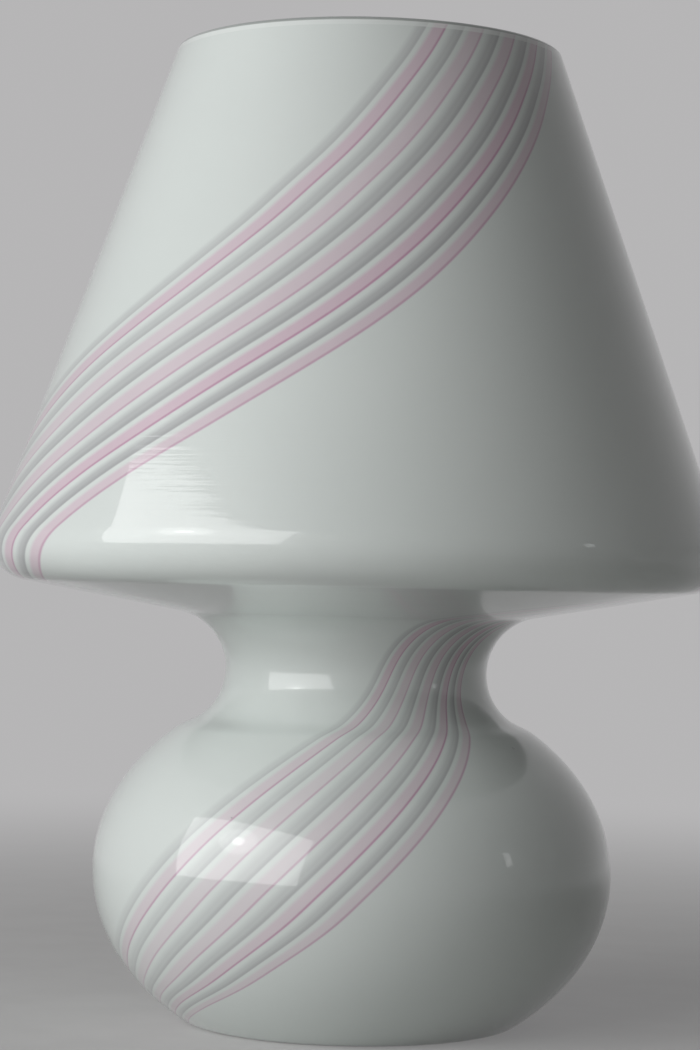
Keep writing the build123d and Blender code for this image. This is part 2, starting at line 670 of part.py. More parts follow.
tongue_end = BLOCK_PLACE - BLOCK_WIDTH / 2 + TONGUE_LAP

with BuildPart() as centre_terminal:
    terminal_block(side=1)
    with BuildSketch(Plane.XY.offset(insert_bottom)):
        with Locations((tongue_end / 2, 0)):
            Rectangle(tongue_end, TONGUE_WIDTH)
        Circle(SPRING_RADIUS + SPRING_WIRE_RADIUS)
    extrude(amount=-TERMINAL_SHEET)
finish(centre_terminal.part, "centre_terminal")

with BuildPart() as side_terminal:
    terminal_block(side=-1)
    with BuildSketch(Plane.XY.offset(insert_bottom + BLOCK_HEIGHT)):
        with Locations((-BLOCK_PLACE, 0)):
            Rectangle(TERMINAL_SHEET, TONGUE_WIDTH)
    extrude(amount=INSERT_HEIGHT - BLOCK_HEIGHT)
finish(side_terminal.part, "side_terminal")

# ---------------------------------------------------------------------------
# Slotted screws: two clamp the wires from below, two hold the screw shell from above
# ---------------------------------------------------------------------------


def slotted_screws(places, seat, way, radius, length):
    """Screws whose heads sit on the level seat; way is 1 for heads above it, -1 for below."""
    with BuildSketch(Plane.XY.offset(seat)) as shanks:
        with Locations(*places):
            Circle(radius)
    extrude(shanks.sketch, amount=-way * length)
    with BuildSketch(Plane.XY.offset(seat)) as heads:
        with Locations(*places):
            Circle(SCREW_HEAD_RADIUS)
    extrude(heads.sketch, amount=way * SCREW_HEAD)
    with BuildSketch(Plane.XY.offset(seat + way * SCREW_HEAD)) as slots:
        with Locations(*places):
            Rectangle(3 * SCREW_HEAD_RADIUS, SLOT_WIDTH)
    extrude(slots.sketch, amount=-way * SLOT_DEPTH, mode=Mode.SUBTRACT)


with BuildPart() as terminal_screws:
    slotted_screws(block_places, insert_bottom, -1, TERMINAL_SCREW_RADIUS, TERMINAL_SCREW_LENGTH)
finish(terminal_screws.part, "terminal_screws")

with BuildPart() as shell_screws:
    slotted_screws(
        shell_screw_places, insert_top + THREAD_SHEET, 1, SHELL_SCREW_RADIUS, SHELL_SCREW_LENGTH
    )
finish(shell_screws.part, "shell_screws")

# ---------------------------------------------------------------------------
# Contact spring: coil that pushes the centre contact up against the bulb
# ---------------------------------------------------------------------------

coil_rise = SPRING_LENGTH - 2 * SPRING_WIRE_RADIUS - 2 * SLIP
coil_start = insert_bottom + SPRING_WIRE_RADIUS + SLIP

with BuildPart() as contact_spring:
    with BuildLine():
        coil = Helix(
            pitch=coil_rise / SPRING_TURNS,
            height=coil_rise,
            radius=SPRING_RADIUS,
            center=(0, 0, coil_start),
        )
    with BuildSketch(Plane(origin=coil @ 0, z_dir=coil % 0)):
        Circle(SPRING_WIRE_RADIUS)
    sweep(is_frenet=True)
finish(contact_spring.part, "contact_spring")

# ---------------------------------------------------------------------------
# Centre contact: sprung plunger with a collar that stops it in the ceramic
# ---------------------------------------------------------------------------

plunger_top = insert_top + PLUNGER_STAND

with BuildPart() as centre_contact:
    with BuildSketch(Plane.XZ) as plunger_section:
        with BuildLine():
            Polyline(
                (0, spring_top),
                (PLUNGER_COLLAR_RADIUS, spring_top),
                (PLUNGER_COLLAR_RADIUS, spring_top + PLUNGER_COLLAR),
                (PLUNGER_RADIUS, spring_top + PLUNGER_COLLAR),
                (PLUNGER_RADIUS, plunger_top),
                (0, plunger_top),
                close=True,
            )
        make_face()
        fillet(corner_near(plunger_section, PLUNGER_RADIUS, plunger_top), PLUNGER_DOME)
    revolve(axis=Axis.Z)
finish(centre_contact.part, "centre_contact")

# ---------------------------------------------------------------------------
# Screw shell: rolled brass sleeve that takes the bulb's cap
# ---------------------------------------------------------------------------


def rolled_thread(inner, outer, start, turns):
    """Middle line of a rolled round thread: arcs that swing between two radii, groove to groove."""
    middle = (inner + outer) / 2
    quarter = THREAD_PITCH / 4
    run = TangentArc((inner, start), (middle, start + quarter), tangent=(0, 1))
    for step in range(2 * turns - 1):
        foot = start + (2 * step + 1) * quarter
        peak = ((outer, inner)[step % 2], foot + quarter)
        run = ThreePointArc((middle, foot), peak, (middle, foot + 2 * quarter))
    TangentArc(run @ 1, (inner, start + turns * THREAD_PITCH), tangent=run % 1)


shell_inner = CREST_RADIUS + BULB_GAP + THREAD_SHEET / 2
shell_floor = insert_top + THREAD_SHEET / 2
holder_thread_start = shell_floor + THREAD_START

with BuildPart() as screw_shell:
    with BuildSketch(Plane.XZ):
        with BuildLine():
            FilletPolyline(
                (SHELL_FLOOR_HOLE, shell_floor),
                (shell_inner, shell_floor),
                (shell_inner, holder_thread_start),
                radius=SHELL_BEND,
            )
            rolled_thread(shell_inner, shell_inner + THREAD_DEPTH, holder_thread_start, HOLDER_TURNS)
        trace(line_width=THREAD_SHEET)
    revolve(axis=Axis.Z)
    with BuildSketch(Plane.XY.offset(insert_top)):
        with Locations(*shell_screw_places):
            Circle(SHELL_SCREW_RADIUS + SLIP)
    extrude(amount=THREAD_SHEET, mode=Mode.SUBTRACT)
finish(screw_shell.part, "screw_shell")

# ---------------------------------------------------------------------------
# Holder shell: upper half of the lampholder, ribbed at the foot, with a lip round the bulb
# ---------------------------------------------------------------------------

shell_bore = spigot_radius + SLIP
lip_bottom = shell_top - SHELL_LIP

with BuildPart() as holder_shell:
    with BuildSketch(Plane.XZ) as shell_section:
        with BuildLine():
            Polyline(
                (shell_bore, cap_top),
                (HOLDER_RADIUS, cap_top),
                (HOLDER_RADIUS, cap_top + RIB_HEIGHT),
                (SHELL_TOP_RADIUS, shell_top),
                (SHELL_MOUTH_RADIUS, shell_top),
                (SHELL_MOUTH_RADIUS, lip_bottom),
                (SHELL_TOP_RADIUS - HOLDER_WALL + SLIP, lip_bottom),
                (shell_bore, spigot_top + SLIP),
                close=True,
            )
        make_face()
        fillet(corner_near(shell_section, SHELL_TOP_RADIUS, shell_top), SHELL_ROUND)
    revolve(axis=Axis.Z)
    with BuildSketch(Plane.XY.offset(cap_top + RIB_RADIUS)):
        with PolarLocations(HOLDER_RADIUS, RIB_COUNT):
            Circle(RIB_RADIUS)
        Circle(shell_bore, mode=Mode.SUBTRACT)
    extrude(amount=RIB_HEIGHT - 2 * RIB_RADIUS)
finish(holder_shell.part, "holder_shell")

# ---------------------------------------------------------------------------
# Bulb cap: rolled screw shell with a collar that is cemented to the glass
# ---------------------------------------------------------------------------

cap_outer = CREST_RADIUS - THREAD_SHEET / 2
cap_inner = cap_outer - THREAD_DEPTH
cap_collar = CAP_COLLAR_RADIUS - THREAD_SHEET / 2
cap_thread_start = bulb_cap_bottom + THREAD_START
thread_end = cap_thread_start + CAP_TURNS * THREAD_PITCH

with BuildPart() as bulb_cap:
    with BuildSketch(Plane.XZ):
        with BuildLine():
            Line((cap_inner, bulb_cap_bottom), (cap_inner, cap_thread_start))
            rolled_thread(cap_inner, cap_outer, cap_thread_start, CAP_TURNS)
            FilletPolyline(
                (cap_inner, thread_end),
                (cap_inner, thread_end + THREAD_PITCH / 4),
                (cap_collar, thread_end + THREAD_PITCH / 2),
                (cap_collar, bulb_cap_top),
                radius=SHELL_BEND / 2,
            )
        trace(line_width=THREAD_SHEET)
    revolve(axis=Axis.Z)
finish(bulb_cap.part, "bulb_cap")

# ---------------------------------------------------------------------------
# Cap insulator and tip contact, at the bulb's lower end
# ---------------------------------------------------------------------------

tip_top = tip_level + TIP_HEIGHT
insulator_bottom = tip_level + TIP_HEIGHT / 2
insulator_top = tip_top + VITRITE_HEIGHT

with BuildPart() as tip_contact:
    with BuildSketch(Plane.XY.offset(tip_level)):
        Circle(TIP_RADIUS)
    extrude(amount=TIP_HEIGHT)
    fillet(tip_contact.edges().group_by(Axis.Z)[0], TIP_ROUND)
finish(tip_contact.part, "tip_contact")

with BuildPart() as cap_insulator:
    with BuildSketch(Plane.XZ):
        with BuildLine():
            Polyline(
                (LEAD_WIRE_RADIUS, tip_top + SLIP),
                (TIP_RADIUS + SLIP, tip_top + SLIP),
                (TIP_RADIUS + SLIP, insulator_bottom),
                (VITRITE_BOTTOM_RADIUS, insulator_bottom),
                (VITRITE_RADIUS, bulb_cap_bottom),
                (VITRITE_RADIUS, insulator_top),
                (LEAD_WIRE_RADIUS, insulator_top),
                close=True,
            )
        make_face()
    revolve(axis=Axis.Z)
finish(cap_insulator.part, "cap_insulator")

# ---------------------------------------------------------------------------
# Bulb glass: thin clear envelope, open at the foot where the stem is sealed in
# ---------------------------------------------------------------------------

throat_bottom = bulb_cap_top - BULB_THROAT
widest_level = bulb_top - BULB_RADIUS


def bulb_half(inset, mode):
    """Half section of the bulb, moved inward by inset."""
    with BuildLine() as outline:
        throat = Line(
            (BULB_THROAT_RADIUS - inset, throat_bottom), (BULB_THROAT_RADIUS - inset, bulb_cap_top)
        )
        crown = CenterArc((0, widest_level), BULB_RADIUS - inset, 0, 90)
        neck = (BULB_NECK_RADIUS - inset, bulb_cap_top + BULB_NECK_RISE)
        Spline(throat @ 1, neck, crown @ 0, tangents=[(0, 1), (0, 1)])
        Polyline(crown @ 1, (0, throat_bottom), throat @ 0)
    make_face(outline.edges(), mode=mode)


with BuildPart() as bulb_glass:
    with BuildSketch(Plane.XZ):
        bulb_half(0, Mode.ADD)
        bulb_half(BULB_GLASS, Mode.SUBTRACT)
    revolve(axis=Axis.Z)
finish(bulb_glass.part, "bulb_glass")

# ---------------------------------------------------------------------------
# Lead wires: from inside the stem through its pinch and out to the filament's ends
# ---------------------------------------------------------------------------

stem_top = throat_bottom + STEM_HEIGHT
filament_level = tip_level + FILAMENT_RISE
wire_top = filament_level - FILAMENT_RADIUS

with BuildPart() as filament_leads:
    for angle in LEAD_ANGLES:
        with BuildLine(radial_plane(angle)) as route:
            FilletPolyline(
                (LEAD_WIRE_PLACE, throat_bottom + SLIP),
                (LEAD_WIRE_PLACE, stem_top + LEAD_WIRE_BEND),
                (FILAMENT_ARC_RADIUS, wire_top - LEAD_WIRE_BEND),
                (FILAMENT_ARC_RADIUS, wire_top),
                radius=LEAD_WIRE_BEND / 2,
            )
        with BuildSketch(Plane(origin=route.line @ 0, z_dir=(0, 0, 1))) as wire:
            Circle(LEAD_WIRE_RADIUS)
        sweep(wire.sketch, path=route.line)
finish(filament_leads.part, "filament_leads")

# ---------------------------------------------------------------------------
# Glass stem: flared tube, pinched round the lead wires, with the support rod on top
# ---------------------------------------------------------------------------

stem_bore = STEM_RADIUS - STEM_WALL
flare_radius = BULB_THROAT_RADIUS - BULB_GLASS - SLIP
rod_top = stem_top + ROD_HEIGHT

with BuildPart() as glass_stem:
    with BuildSketch(Plane.XZ):
        with BuildLine():
            Polyline(
                (stem_bore, throat_bottom + STEM_FLARE),
                (flare_radius - STEM_WALL, throat_bottom),
                (flare_radius, throat_bottom),
                (STEM_RADIUS, throat_bottom + STEM_FLARE + STEM_WALL),
                (STEM_RADIUS, stem_top),
                (ROD_RADIUS, stem_top),
                (ROD_RADIUS, rod_top),
                (0, rod_top),
                (0, stem_top - STEM_PINCH),
                (stem_bore, stem_top - STEM_PINCH),
                close=True,
            )
        make_face()
    revolve(axis=Axis.Z)
    with BuildSketch(Plane.XZ) as button_section:
        with Locations((0, rod_top)):
            Circle(ROD_BUTTON_RADIUS)
        split(bisect_by=Plane.YZ)
    revolve(axis=Axis.Z)
    with BuildSketch(Plane.XY.offset(stem_top + LEAD_WIRE_BEND)):
        with Locations(*[polar(LEAD_WIRE_PLACE, angle) for angle in LEAD_ANGLES]):
            Circle(LEAD_WIRE_RADIUS + SLIP)
    extrude(amount=-LEAD_WIRE_BEND - 2 * STEM_PINCH, mode=Mode.SUBTRACT)
finish(glass_stem.part, "glass_stem")

# ---------------------------------------------------------------------------
# Filament and its supports: coiled wire in an open ring, held up from the rod's button
# ---------------------------------------------------------------------------

filament_start = LEAD_ANGLES[1] - 360
filament_sweep = LEAD_ANGLES[0] - filament_start

with BuildPart() as filament:
    with BuildLine(Plane.XY.offset(filament_level)) as filament_path:
        CenterArc((0, 0), FILAMENT_ARC_RADIUS, filament_start, filament_sweep)
    with BuildSketch(Plane(origin=filament_path.line @ 0, z_dir=filament_path.line % 0)):
        Circle(FILAMENT_RADIUS)
    sweep(path=filament_path.line)
finish(filament.part, "filament")

support_step = filament_sweep / (SUPPORT_COUNT + 1)
support_top = filament_level - FILAMENT_RADIUS - SUPPORT_RADIUS

with BuildPart() as filament_supports:
    for number in range(SUPPORT_COUNT):
        angle = filament_start + (number + 1) * support_step
        with BuildLine(radial_plane(angle)) as support:
            Line((ROD_BUTTON_RADIUS + SLIP, rod_top), (FILAMENT_ARC_RADIUS, support_top))
        with BuildSketch(Plane(origin=support.line @ 0, z_dir=support.line % 0)) as wire:
            Circle(SUPPORT_RADIUS)
        sweep(wire.sketch, path=support.line)
finish(filament_supports.part, "filament_supports")
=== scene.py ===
import math

import bmesh
import bpy
import numpy as np
from mathutils import Matrix, Vector
from mathutils.geometry import interpolate_bezier


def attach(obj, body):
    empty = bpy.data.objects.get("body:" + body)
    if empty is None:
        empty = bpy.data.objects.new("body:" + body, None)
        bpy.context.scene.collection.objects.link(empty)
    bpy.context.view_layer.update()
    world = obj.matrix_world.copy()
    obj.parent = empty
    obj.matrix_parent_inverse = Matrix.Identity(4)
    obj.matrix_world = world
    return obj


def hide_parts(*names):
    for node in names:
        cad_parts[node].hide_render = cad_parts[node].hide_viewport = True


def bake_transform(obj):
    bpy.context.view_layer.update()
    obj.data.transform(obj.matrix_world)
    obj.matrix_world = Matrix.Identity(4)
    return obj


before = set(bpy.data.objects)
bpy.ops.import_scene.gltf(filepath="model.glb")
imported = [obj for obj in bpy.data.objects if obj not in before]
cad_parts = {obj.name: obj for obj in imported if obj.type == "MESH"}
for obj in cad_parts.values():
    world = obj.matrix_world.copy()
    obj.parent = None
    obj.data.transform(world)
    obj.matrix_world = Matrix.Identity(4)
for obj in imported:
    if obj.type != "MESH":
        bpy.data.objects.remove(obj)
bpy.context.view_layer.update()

# ---------------------------------------------------------------------------
# Camera: where the photograph was taken from, with a long lens level with the underside
# of the shade, tilted up by a degree and leaning by a touch
# ---------------------------------------------------------------------------

CAMERA_PLACE = Vector((0.0, -0.9496, 0.1497))
CAMERA_LENS = 95.25          # mm, on a 36 mm long side
CAMERA_RISE = 1.134          # degrees above level
CAMERA_TURN = 0.192          # degrees towards the left
CAMERA_LEAN = 1.29           # degrees

scene = bpy.context.scene


def turned(degrees, axis):
    """Rotation about one of the frame's axes."""
    return Matrix.Rotation(math.radians(degrees), 4, axis)


camera = bpy.data.objects.new("camera", bpy.data.cameras.new("camera"))
camera.data.lens = CAMERA_LENS
camera.data.clip_start = 0.01
camera.data.clip_end = 100.0
scene.collection.objects.link(camera)
camera.matrix_world = (
    Matrix.Translation(CAMERA_PLACE)
    @ turned(CAMERA_TURN, "Z")
    @ turned(90 + CAMERA_RISE, "X")
    @ turned(CAMERA_LEAN, "Z")
)
scene.camera = camera
scene.view_settings.view_transform = "Standard"

# ---------------------------------------------------------------------------
# Studio: a pale floor that runs out into a pale surround, one large softbox at the front
# left that is brightest in its middle, and a small weak light from the right
# ---------------------------------------------------------------------------

SURROUND = (0.47, 0.465, 0.47, 1.0)
AMBIENT = (0.050, 0.049, 0.047, 1.0)
FLOOR_COLOUR = (0.60, 0.60, 0.59, 1.0)
FLOOR_SHADE = (0.56, 0.56, 0.55, 1.0)
FLOOR_RADIUS = 12.0
FADE_START = 0.15            # where the floor begins to turn into the surround
FADE_END = 1.0
FADE_NEAR = 0.35             # how much of the surround the floor takes at the lamp
LIT_POINT = Vector((0.0, 0.0, 0.15))


def add(tree, kind, inputs=None, **settings):
    """A shader node. Its inputs, by name or number, are values or sockets."""
    made = tree.nodes.new("ShaderNode" + kind)
    for name, value in settings.items():
        setattr(made, name, value)
    for name, value in (inputs or {}).items():
        if isinstance(value, bpy.types.NodeSocket):
            tree.links.new(value, made.inputs[name])
        else:
            made.inputs[name].default_value = value
    return made


def maths(tree, operation, *values):
    """Result of a Math node."""
    return add(tree, "Math", dict(enumerate(values)), operation=operation).outputs[0]


def graded(tree, value, low, high, bottom=0.0, top=1.0):
    """Smooth step from bottom to top as the value goes from low to high."""
    numbers = {0: value, 1: low, 2: high, 3: bottom, 4: top}
    return add(tree, "MapRange", numbers, interpolation_type="SMOOTHSTEP").outputs[0]


def mixed(tree, share, first, second, blend="MIX"):
    """Mix of two colours."""
    colours = {0: share, 6: first, 7: second}
    return add(tree, "Mix", colours, data_type="RGBA", blend_type=blend).outputs[2]


def new_material(name):
    """A new material, its node tree and its Principled shader."""
    made = bpy.data.materials.new(name)
    made.use_nodes = True
    return made, made.node_tree, made.node_tree.nodes["Principled BSDF"]


def seen_rays(tree):
    """1 for what the camera sees, also in a mirror or through glass, and 0 for light."""
    path = add(tree, "LightPath")
    seen = maths(tree, "MAXIMUM", path.outputs["Is Camera Ray"], path.outputs["Is Glossy Ray"])
    return maths(tree, "MAXIMUM", seen, path.outputs["Is Transmission Ray"])


world = bpy.data.worlds.new("surround")
world.use_nodes = True
scene.world = world
tree = world.node_tree
tree.links.new(
    mixed(tree, seen_rays(tree), AMBIENT, SURROUND), tree.nodes["Background"].inputs["Color"]
)

shape = bmesh.new()
bmesh.ops.create_circle(shape, cap_ends=True, segments=96, radius=FLOOR_RADIUS)
floor = bpy.data.objects.new("floor", bpy.data.meshes.new("floor"))
shape.to_mesh(floor.data)
shape.free()
scene.collection.objects.link(floor)

paint, tree, shader = new_material("pale_floor")
shader.inputs["Roughness"].default_value = 0.8
here = add(tree, "TexCoord").outputs["Object"]
distance = add(tree, "VectorMath", {0: here}, operation="LENGTH").outputs["Value"]
grain = add(tree, "TexNoise", {"Vector": here, "Scale": 30.0, "Detail": 4.0}).outputs["Fac"]
tree.links.new(
    mixed(tree, graded(tree, grain, 0.3, 0.7), FLOOR_COLOUR, FLOOR_SHADE),
    shader.inputs["Base Color"],
)
far = add(tree, "Emission", {"Color": SURROUND})
shade = graded(tree, distance, FADE_START, FADE_END, FADE_NEAR, 1.0)
fade = maths(tree, "MULTIPLY", shade, seen_rays(tree))
shown = add(tree, "MixShader", {0: fade, 1: shader.outputs[0], 2: far.outputs[0]})
tree.links.new(shown.outputs[0], tree.nodes["Material Output"].inputs["Surface"])
floor.data.materials.append(paint)


def soft_light(name, azimuth, elevation, distance, width, height, power, form="RECTANGLE"):
    """Flat light that faces the lamp; azimuth 0 is the camera's side, 90 the right."""
    light = bpy.data.lights.new(name, "AREA")
    light.shape = form
    light.size = width
    light.size_y = height
    light.energy = power
    around, up = math.radians(azimuth), math.radians(elevation)
    way = Vector((math.sin(around) * math.cos(up), -math.cos(around) * math.cos(up), math.sin(up)))
    made = bpy.data.objects.new(name, light)
    facing = way.to_track_quat("Z", "Y").to_matrix().to_4x4()
    made.matrix_world = Matrix.Translation(LIT_POINT + way * distance) @ facing
    made.visible_camera = False
    scene.collection.objects.link(made)


soft_light("softbox", -51, 15.5, 1.2, 1.36, 0.80, 11.3)
soft_light("softbox_glow", -53, 22, 1.15, 0.36, 0.32, 0.6, "ELLIPSE")
soft_light("softbox_lamp", -53, 22, 1.14, 0.12, 0.10, 0.16, "ELLIPSE")
soft_light("right_fill", 72, 12, 1.6, 0.10, 0.20, 0.12)

# ---------------------------------------------------------------------------
# Glass body: one piece of blown opal glass, shade, neck and base in one. Two bands of
# grey and pink canes were laid on the hot gather and twisted with it, and clear glass
# cased them. The rim is fire-polished, and the lead hole is drilled low at the rear.
# ---------------------------------------------------------------------------

HEIGHT = 0.330
RIM_RADIUS = 0.0655
SHADE_RADIUS = 0.129         # where the cone and the underside would meet
SHADE_ROUND = 0.013
UNDERSIDE_RISE = 10.0        # degrees
NECK_RADIUS = 0.0446
NECK_LEVEL = 0.1188
NECK_HOLLOW = 0.0195         # radius of the hollow curve round the waist
HOLLOW_BELOW = 52.0          # degrees of that curve below the waist
BASE_RADIUS = 0.0881
BASE_HALF_HEIGHT = 0.066
BASE_LEVEL = 0.051
SHOULDER = 46.0              # degrees up the belly, where the shoulder begins
GLASS_WALL = 0.0045
GLASS_FLOOR = 0.008
FOOT_ROUND = 0.008
FLOOR_ROUND = 0.006
RIM_POLISH = 0.0017
LEAD_HOLE_PLACE = Vector((0.0, 0.08279, 0.02843))
LEAD_HOLE_WAY = Vector((0.0, 0.8995, -0.4370))
LEAD_HOLE_RADIUS = 0.005
FACES_ROUND = 216
LONGEST_FACE = 0.004
FLOOR_STEPS = 10             # faces on each round stretch of an outline
BELLY_STEPS = 64
SHOULDER_STEPS = 14
NECK_STEPS = 40
EDGE_STEPS = 20
RIM_STEPS = 8
FIT_ROUNDS = 40
WELD = 1e-6

OPAL = (0.765, 0.800, 0.782, 1.0)
OPAL_THIN = (0.735, 0.772, 0.755, 1.0)
SEED_COLOUR = (0.35, 0.37, 0.35, 1.0)
# the lip's colour, level and strength below paint a bright highlight along the rounded rim
LIP_HIGHLIGHT_COLOUR = (0.88, 0.90, 0.89, 1.0)
RIM_COLOUR = (0.40, 0.42, 0.41, 1.0)
RIM_HIGHLIGHT_LEVEL = 0.3270             # level where the bright lip begins
RIM_CLEAR = 0.3286           # and the darker line
RIM_BLEND = 0.0004
LIP_HIGHLIGHT_STRENGTH = 0.6
SEED_CELLS = 55.0            # cells to the metre, of which a few hold a seed
SEED_CHANCE = 0.84
SEED_RADIUS = (0.035, 0.02)  # from its edge to where it is full, in cells
SEED_STRENGTH = 0.45
RELIEF_STEP = 0.000016       # height of the glass's relief, and of its parts in steps
RIPPLES = 1.8
BROAD_WAVES = 6.0
SEED_BLISTERS = 12.0
WHITE = (1.0, 1.0, 1.0)
# Twist of a band: mm along the outside from the rim, then the last cane's place in
# degrees, from the front towards the right, and the band's width in degrees
TWIST = (
    (0, 67.0, 44.4), (12, 59.8, 43.4), (24, 52.4, 42.7), (36, 45.5, 42.4), (48, 38.5, 42.3),
    (60, 31.5, 42.8), (72, 24.4, 43.1), (84, 17.2, 44.2), (96, 9.7, 45.7), (108, 1.5, 47.4),
    (120, -7.4, 49.0), (132, -16.6, 49.8), (146, -27.6, 50.0), (157, -36.6, 50.0),
    (170, -46.2, 49.6), (180, -52.3, 49.0), (191, -57.4, 48.0), (215, -75.5, 44.5),
    (240, -98.0, 40.0), (272, -123.8, 37.4), (284, -129.7, 38.7), (296, -135.0, 42.6),
    (308, -142.7, 43.4), (326, -153.7, 44.2), (344, -164.7, 44.6), (362, -176.2, 44.6),
    (374, -184.2, 45.0), (386, -194.4, 44.8), (398, -206.4, 44.8), (410, -222.7, 44.8),
    (430, -254.0, 44.8),
)
# Canes across a band, from its first (0) to its last (1): kind, then where the cane
# begins, where its dark line is, and how strong it is
CANES = (
    ("grey", -0.210, -0.129, 0.62), ("pink", -0.099, 0.000, 1.00),
    ("grey", 0.030, 0.123, 0.75), ("pink", 0.153, 0.267, 0.75),
    ("grey", 0.297, 0.402, 0.95), ("pink", 0.432, 0.540, 0.85),
    ("grey", 0.570, 0.667, 1.05), ("pink", 0.697, 0.786, 1.15),
    ("grey", 0.816, 0.893, 1.05), ("pink", 0.923, 1.000, 0.92),
)
# For each kind: its body and the line beside it, as shares of what they lie on, then how
# much of the way to the line the body takes to deepen, and how far the line reaches back
CANE_KINDS = {
    "grey": ((0.71, 0.69, 0.71), (0.80, 0.79, 0.81), 0.50, 0.030),
    "pink": ((0.95, 0.74, 0.84), (0.76, 0.50, 0.66), 0.30, 0.013),
}
LINE_EDGE = 0.010            # from the middle of a dark line to the clear opal after it
BODY_FADE = 0.64             # strength of the canes' bodies in the base
FADE_BELOW = 0.095           # level below which they are that faint
FADE_ABOVE = 0.140           # and above which they are at full strength
WANDER = 0.004               # half turns by which a cane wavers
BAND_START = -0.25
BAND_END = 1.15
BAND_MARGIN = 0.05           # half turns past the last cane


def polar(radius, degrees):
    """Point in the XZ plane, as (across, up)."""
    angle = math.radians(degrees)
    return Vector((radius * math.cos(angle), radius * math.sin(angle)))


def across(vertex):
    """Place of a vertex of a half outline, as (across, up)."""
    return Vector((vertex.co.x, vertex.co.z))


def arc(shape, centre, radius, start, sweep, steps):
    """Vertices left by one vertex that turns in the XZ plane; degrees up from +X."""
    known = len(shape.verts)
    place = Vector(centre) + polar(radius, start)
    bmesh.ops.spin(
        shape,
        geom=[shape.verts.new((place.x, 0.0, place.y))],
        cent=(centre[0], 0.0, centre[1]),
        axis=(0.0, -1.0, 0.0),
        angle=math.radians(sweep),
        steps=steps,
    )
    shape.verts.ensure_lookup_table()
    return shape.verts[known:]


def rounded_corner(shape, before, corner, after, radius, steps=RIM_STEPS, inset=0.0):
    """Vertices of the arc that rounds a corner, or of one inside it, inset from it."""
    come, go = (corner - before).normalized(), (after - corner).normalized()
    sweep = -math.degrees(come.angle_signed(go))
    centre = corner + (go - come).normalized() * radius / math.cos(math.radians(sweep / 2))
    start = math.degrees(math.atan2(come.y, come.x)) - math.copysign(90, sweep)
    return arc(shape, centre, radius - inset, start, sweep, steps)


def free_curve(shape, start, leave, end, arrive, steps):
    """Vertices between two points on a smooth curve with these directions at its ends."""
    start, leave, end, arrive = (Vector((p[0], 0.0, p[1])) for p in (start, leave, end, arrive))
    reach = (end - start).length / 3
    knots = (start, start + leave.normalized() * reach, end - arrive.normalized() * reach, end)
    return [shape.verts.new(point) for point in interpolate_bezier(*knots, steps)[1:-1]]


def outline(shape, path, longest):
    """Joins the path's vertices, with more on its long runs, and returns all in order."""
    ordered = [path[0]]
    for first, second in zip(path, path[1:]):
        if not shape.edges.get((first, second)):
            parts = int((second.co - first.co).length / longest) + 1
            between = [
                shape.verts.new(first.co.lerp(second.co, part / parts)) for part in range(1, parts)
            ]
            run = [first, *between, second]
            for ends in zip(run, run[1:]):
                shape.edges.new(ends)
            ordered += between
        ordered.append(second)
    return ordered


def spun(shape, steps):
    """Turns a half outline about the lamp's axis, and closes the seam and the poles."""
    bmesh.ops.spin(
        shape,
        geom=shape.verts[:] + shape.edges[:],
        cent=(0.0, 0.0, 0.0),
        axis=(0.0, 0.0, 1.0),
        angle=math.tau,
        steps=steps,
        use_merge=True,
    )
    bmesh.ops.remove_doubles(shape, verts=shape.verts[:], dist=WELD)
    bmesh.ops.recalc_face_normals(shape, faces=shape.faces[:])


def finished(shape, name, body, slot, material, *replaced):
    """Makes the mesh a piece that rides on its body and stands for these CAD nodes."""
    made = bpy.data.objects.new(name, bpy.data.meshes.new(name))
    for face in shape.faces:
        face.smooth = True
    shape.to_mesh(made.data)
    shape.free()
    scene.collection.objects.link(made)
    made.data.materials.append(material)
    if body:
        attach(made, body)
    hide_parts(*replaced)
    return made


def glass_face(shape, inset, lowest, corner):
    """One face of the glass as a half outline, from beside its floor up to the cone."""
    wide, high = BASE_RADIUS - inset, BASE_HALF_HEIGHT - inset
    low = math.degrees(math.asin((lowest - BASE_LEVEL) / high))
    for _ in range(FIT_ROUNDS):  # until the rounding of the floor meets the belly
        outward = (polar(1.0, low) * Vector((1 / wide, 1 / high))).normalized()
        touch = polar(1.0, low) * Vector((wide, high)) + Vector((0.0, BASE_LEVEL))
        centre = touch - outward * corner
        low += math.degrees((lowest + corner - centre.y) / high)
    lean = math.degrees(math.atan2(outward.y, outward.x))
    path = arc(shape, centre, corner, -90, lean + 90, FLOOR_STEPS)
    belly = arc(shape, (0.0, BASE_LEVEL), wide, low, SHOULDER - low, BELLY_STEPS)
    bmesh.ops.scale(
        shape,
        verts=belly,
        vec=(1.0, 1.0, high / wide),
        space=Matrix.Translation((0.0, 0.0, -BASE_LEVEL)),
    )
    hollow = Vector((NECK_RADIUS + NECK_HOLLOW, NECK_LEVEL))
    sweep = HOLLOW_BELOW + 90 - UNDERSIDE_RISE
    turn = 180 + HOLLOW_BELOW
    neck = arc(shape, hollow, NECK_HOLLOW + inset, turn, -sweep, NECK_STEPS)
    leave = polar(1.0, 90 + SHOULDER) * Vector((wide, high))
    arrive = polar(1.0, 90 + HOLLOW_BELOW)
    ends = across(belly[-1]), leave, across(neck[0]), arrive
    path += belly + free_curve(shape, *ends, SHOULDER_STEPS) + neck
    under = polar(1.0, UNDERSIDE_RISE)
    start = hollow + polar(NECK_HOLLOW, 90 + UNDERSIDE_RISE)
    edge = start + under * (SHADE_RADIUS - start.x) / under.x
    rim = Vector((RIM_RADIUS, HEIGHT))
    path += rounded_corner(shape, start, edge, rim, SHADE_ROUND, EDGE_STEPS, inset)
    return path, (rim - edge).normalized()


